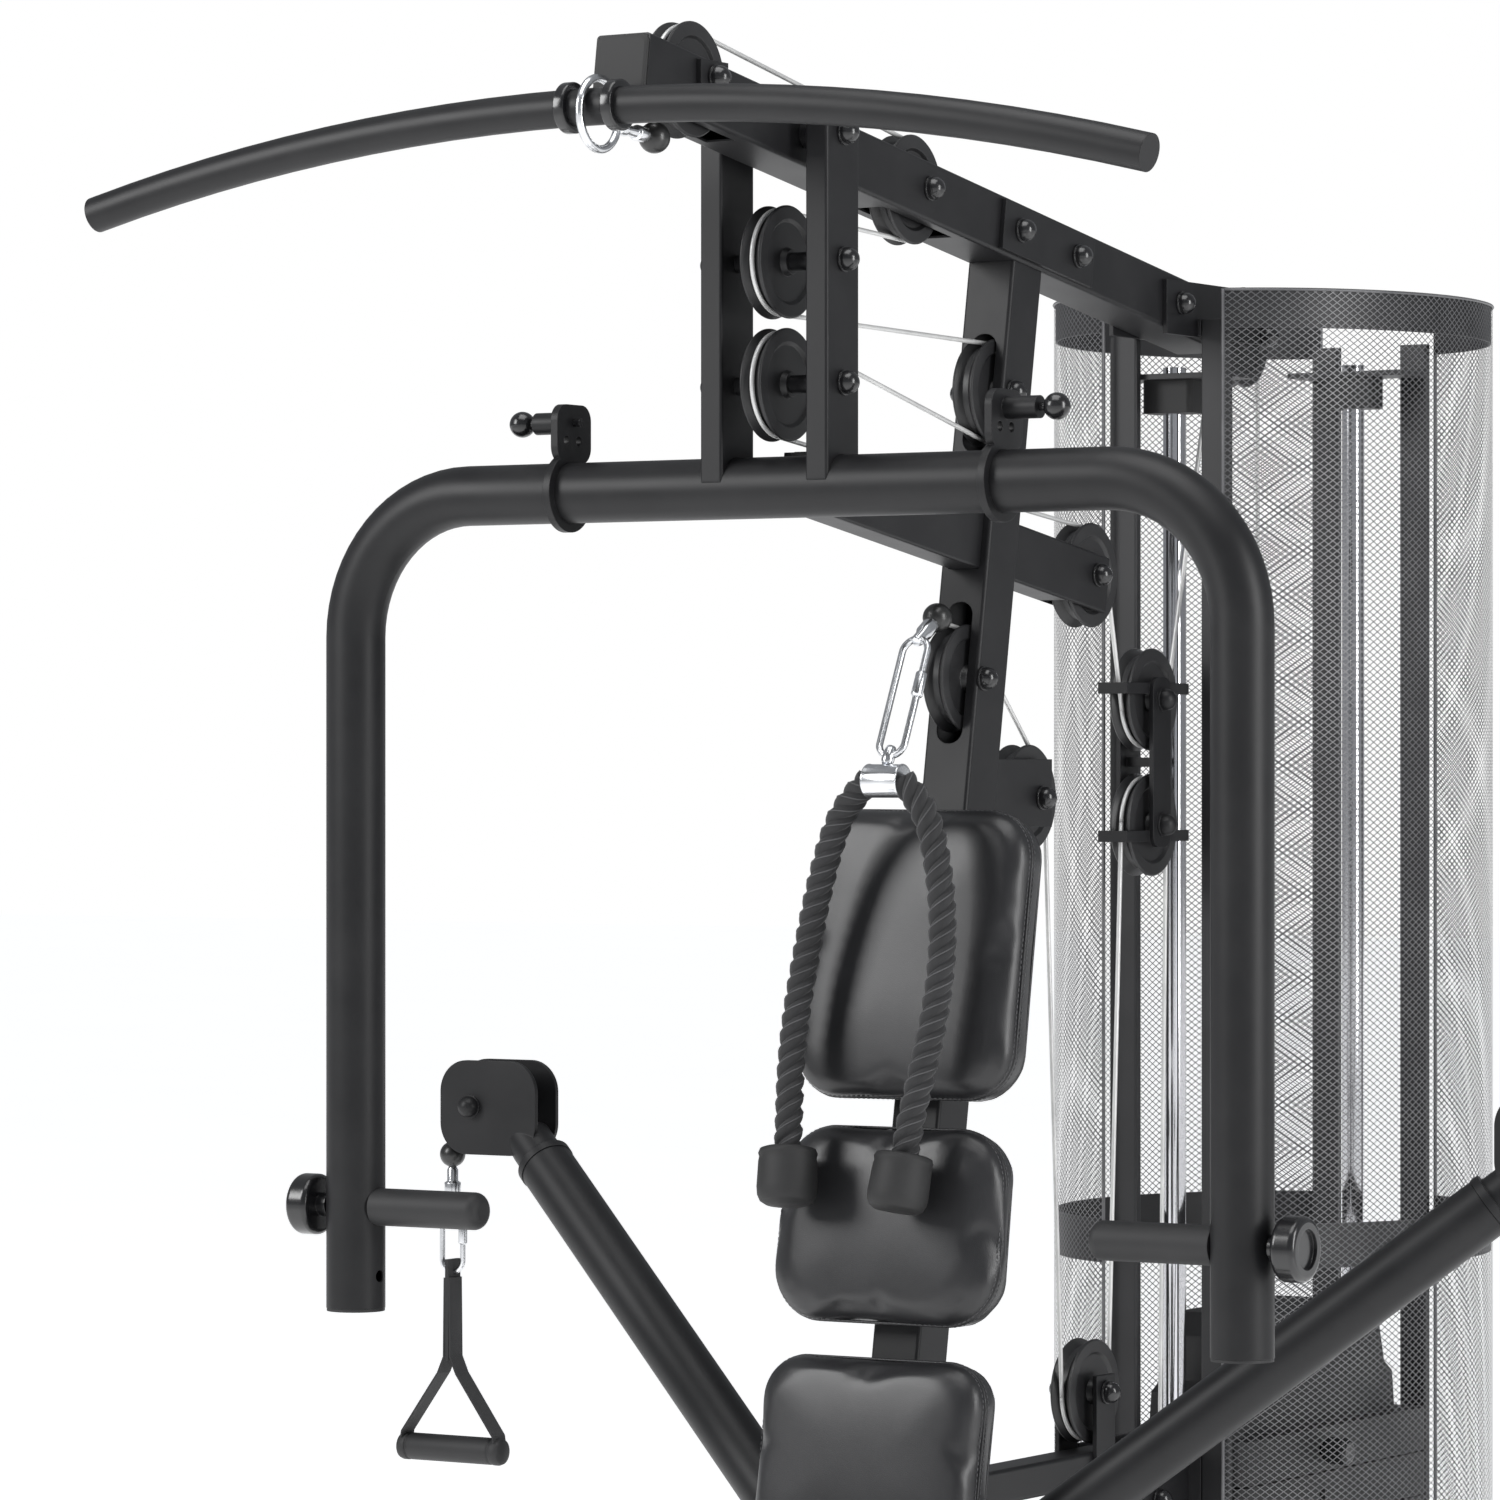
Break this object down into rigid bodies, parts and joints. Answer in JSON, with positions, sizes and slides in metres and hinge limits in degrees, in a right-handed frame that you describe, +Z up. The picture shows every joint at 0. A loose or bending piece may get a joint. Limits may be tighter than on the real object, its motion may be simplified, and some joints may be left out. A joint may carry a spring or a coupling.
{
  "type": "functional trainer",
  "caption": "Multi-station strength machine with a leaning post, swinging press arch, swept cable arms, high pull bar, rope station and a weight stack in a mesh-sided tower",
  "frame": {"origin": "on the floor, in the middle of the footprint", "axes": "+Z up, -Y to the front where the user sits, +X to the right as seen from the front"},
  "size_m": [1.5148, 1.71, 2.104],
  "materials": {
    "frame_paint": "matte fine-textured black powder coat",
    "tower_paint": "satin dark grey powder coat",
    "mesh_paint": "perforated sheet, satin grey powder coat",
    "chrome": "polished chrome",
    "zinc": "bright zinc plate, rubber ends",
    "rubber": "matte black rubber",
    "grip_rubber": "black moulded grip",
    "cap_plastic": "glossy black moulded caps and knobs",
    "pulley_plastic": "black moulded nylon",
    "weight_shell": "black moulded shell over cement fill",
    "pad_leather": "black grained leatherette, stitched side seam",
    "cable_steel": "steel cable in a clear sleeve",
    "rope_fibre": "twisted black nylon rope with a pale tracer thread"
  },
  "bodies": {
    "machine_frame": {"base_frame": "frame_paint", "base_feet": "rubber", "post": "frame_paint", "boom": "frame_paint", "pulley_plates": "frame_paint", "mid_beam": "frame_paint", "arm_bracket": "frame_paint", "tower_uprights": "tower_paint", "tower_plates": "tower_paint", "guide_rods": "chrome", "rubber_buffers": "rubber", "shroud_left": "mesh_paint", "shroud_right": "mesh_paint", "weight_plates": "weight_shell", "frame_bolts": "cap_plastic", "back_pad_upper": "pad_leather", "back_pad_middle": "pad_leather", "back_pad_lower": "pad_leather", "cable_upper": "cable_steel", "cable_lower": "cable_steel"},
    "press_arm": {"press_arch": "frame_paint", "press_hangers": "frame_paint", "press_grips": "grip_rubber", "press_bolts": "cap_plastic", "storage_hooks": "frame_paint"},
    "weight_carriage": {"weight_head": "weight_shell"},
    "selector": {"selector_pin": "cap_plastic"},
    "lat_handle": {"lat_bar": "frame_paint", "lat_fittings": "zinc"},
    "rope_handle": {"rope_fittings": "zinc", "triceps_rope": "rope_fibre"},
    "floating_block": {"float_block": "frame_paint"},
    "seat": {"seat_frame": "frame_paint", "seat_pad": "pad_leather"},
    "seat_lock": {"seat_pin": "cap_plastic"},
    "wheel_front": {"pulley_front": "pulley_plastic"},
    "wheel_boom": {"pulley_boom": "pulley_plastic"},
    "wheel_rear": {"pulley_rear": "pulley_plastic"},
    "wheel_press_upper": {"pulley_press_upper": "pulley_plastic"},
    "wheel_press_lower": {"pulley_press_lower": "pulley_plastic"},
    "wheel_post_upper": {"pulley_post_upper": "pulley_plastic"},
    "wheel_post_middle": {"pulley_post_middle": "pulley_plastic"},
    "wheel_beam": {"pulley_beam": "pulley_plastic"},
    "wheel_bracket": {"pulley_bracket": "pulley_plastic"},
    "wheel_base": {"pulley_base": "pulley_plastic"},
    "wheel_low": {"pulley_low": "pulley_plastic"},
    "wheel_float_upper": {"pulley_float_upper": "pulley_plastic"},
    "wheel_float_lower": {"pulley_float_lower": "pulley_plastic"},
    "arm_left": {"cable_arm_left": "frame_paint"},
    "head_left": {"arm_head_left": "frame_paint"},
    "wheel_arm_left": {"arm_pulley_left": "pulley_plastic"},
    "grip_left": {"handle_left": "grip_rubber"},
    "knob_left": {"grip_knob_left": "cap_plastic"},
    "pin_left": {"hook_pin_left": "cap_plastic"},
    "arm_right": {"cable_arm_right": "frame_paint"},
    "head_right": {"arm_head_right": "frame_paint"},
    "wheel_arm_right": {"arm_pulley_right": "pulley_plastic"},
    "grip_right": {"handle_right": "grip_rubber"},
    "knob_right": {"grip_knob_right": "cap_plastic"},
    "pin_right": {"hook_pin_right": "cap_plastic"}
  },
  "joints": [
    {"name": "press_swing", "type": "hinge", "parent": "machine_frame", "child": "press_arm", "pos_m": [0, -0.5, 2.01035], "axis": [-1, 0, 0], "range_deg": [0, 45], "deforming": ["cable_upper"]},
    {"name": "lat_pull", "type": "slide", "parent": "machine_frame", "child": "lat_handle", "axis": [0, 0, -1], "range_m": [0, 0.75]},
    {"name": "stack_lift", "type": "slide", "parent": "machine_frame", "child": "weight_carriage", "axis": [0, 0, 1], "range_m": [0, 0.75]},
    {"name": "selector_pull", "type": "slide", "parent": "weight_carriage", "child": "selector", "axis": [1, 0, 0], "range_m": [0, 0.095]},
    {"name": "rope_pull", "type": "slide", "parent": "machine_frame", "child": "rope_handle", "axis": [0, -0.5736, -0.8192], "range_m": [0, 0.4], "deforming": ["cable_lower"]},
    {"name": "float_travel", "type": "slide", "parent": "machine_frame", "child": "floating_block", "axis": [0, 0, 1], "range_m": [-0.2, 0]},
    {"name": "seat_height", "type": "slide", "parent": "machine_frame", "child": "seat", "axis": [0, 0, 1], "range_m": [0, 0.08]},
    {"name": "seat_lock_pull", "type": "slide", "parent": "machine_frame", "child": "seat_lock", "axis": [1, 0, 0], "range_m": [0, 0.012], "stiffness_N_per_m": 600},
    {"name": "front_spin", "type": "hinge", "parent": "machine_frame", "child": "wheel_front", "pos_m": [0, -0.673, 2.049], "axis": [1, 0, 0], "continuous": true},
    {"name": "boom_spin", "type": "hinge", "parent": "machine_frame", "child": "wheel_boom", "pos_m": [0, -0.262, 1.977], "axis": [1, 0, 0], "continuous": true},
    {"name": "rear_spin", "type": "hinge", "parent": "machine_frame", "child": "wheel_rear", "pos_m": [0, 0.458, 1.871], "axis": [1, 0, 0], "continuous": true},
    {"name": "press_upper_spin", "type": "hinge", "parent": "press_arm", "child": "wheel_press_upper", "pos_m": [0, -0.5, 1.888], "axis": [1, 0, 0], "continuous": true},
    {"name": "press_lower_spin", "type": "hinge", "parent": "press_arm", "child": "wheel_press_lower", "pos_m": [0, -0.5, 1.769], "axis": [1, 0, 0], "continuous": true},
    {"name": "post_upper_spin", "type": "hinge", "parent": "machine_frame", "child": "wheel_post_upper", "pos_m": [0, -0.09179, 1.782], "axis": [1, 0, 0], "continuous": true},
    {"name": "post_middle_spin", "type": "hinge", "parent": "machine_frame", "child": "wheel_post_middle", "pos_m": [0, -0.15163, 1.488], "axis": [1, 0, 0], "continuous": true},
    {"name": "beam_spin", "type": "hinge", "parent": "machine_frame", "child": "wheel_beam", "pos_m": [0, 0.108, 1.6], "axis": [1, 0, 0], "continuous": true},
    {"name": "bracket_spin", "type": "hinge", "parent": "machine_frame", "child": "wheel_bracket", "pos_m": [0, -0.025, 1.366], "axis": [1, 0, 0], "continuous": true},
    {"name": "base_spin", "type": "hinge", "parent": "machine_frame", "child": "wheel_base", "pos_m": [0, 0.113, 0.74], "axis": [1, 0, 0], "continuous": true},
    {"name": "low_spin", "type": "hinge", "parent": "machine_frame", "child": "wheel_low", "pos_m": [0, 0.228, 0.615], "axis": [1, 0, 0], "continuous": true},
    {"name": "float_upper_spin", "type": "hinge", "parent": "floating_block", "child": "wheel_float_upper", "pos_m": [0, 0.243, 1.47], "axis": [1, 0, 0], "continuous": true},
    {"name": "float_lower_spin", "type": "hinge", "parent": "floating_block", "child": "wheel_float_lower", "pos_m": [0, 0.243, 1.336], "axis": [1, 0, 0], "continuous": true},
    {"name": "arm_swing_left", "type": "hinge", "parent": "machine_frame", "child": "arm_left", "pos_m": [-0.1, -0.265, 0.595], "axis": [0, -1, 0], "range_deg": [-20, 25]},
    {"name": "head_swivel_left", "type": "hinge", "parent": "arm_left", "child": "head_left", "pos_m": [-0.556, -0.075, 0.967], "axis": [-0.7374, 0.3072, 0.6016], "range_deg": [-40, 40]},
    {"name": "arm_wheel_spin_left", "type": "hinge", "parent": "head_left", "child": "wheel_arm_left", "pos_m": [-0.65, -0.062, 1.03], "axis": [0, 1, 0], "continuous": true},
    {"name": "handle_swing_left", "type": "hinge", "parent": "head_left", "child": "grip_left", "pos_m": [-0.6894, -0.062, 0.976], "axis": [0, 1, 0], "range_deg": [-30, 30]},
    {"name": "knob_turn_left", "type": "hinge", "parent": "press_arm", "child": "knob_left", "pos_m": [-0.547, -0.5, 0.953], "axis": [-1, 0, 0], "continuous": true},
    {"name": "hook_pin_pull_left", "type": "slide", "parent": "press_arm", "child": "pin_left", "axis": [-1, 0, 0], "range_m": [0, 0.01], "stiffness_N_per_m": 600},
    {"name": "arm_swing_right", "type": "hinge", "parent": "machine_frame", "child": "arm_right", "pos_m": [0.1, -0.265, 0.595], "axis": [0, 1, 0], "range_deg": [-20, 25]},
    {"name": "head_swivel_right", "type": "hinge", "parent": "arm_right", "child": "head_right", "pos_m": [0.556, -0.075, 0.967], "axis": [0.7374, 0.3072, 0.6016], "range_deg": [-40, 40]},
    {"name": "arm_wheel_spin_right", "type": "hinge", "parent": "head_right", "child": "wheel_arm_right", "pos_m": [0.65, -0.062, 1.03], "axis": [0, 1, 0], "continuous": true},
    {"name": "handle_swing_right", "type": "hinge", "parent": "head_right", "child": "grip_right", "pos_m": [0.6894, -0.062, 0.976], "axis": [0, 1, 0], "range_deg": [-30, 30]},
    {"name": "knob_turn_right", "type": "hinge", "parent": "press_arm", "child": "knob_right", "pos_m": [0.547, -0.5, 0.953], "axis": [1, 0, 0], "continuous": true},
    {"name": "hook_pin_pull_right", "type": "slide", "parent": "press_arm", "child": "pin_right", "axis": [1, 0, 0], "range_m": [0, 0.01], "stiffness_N_per_m": 600}
  ],
  "couplings": [
    {"joint": "lat_pull", "follows": "stack_lift", "ratio": 1},
    {"joint": "float_travel", "follows": "rope_pull", "ratio": -0.5}
  ]
}
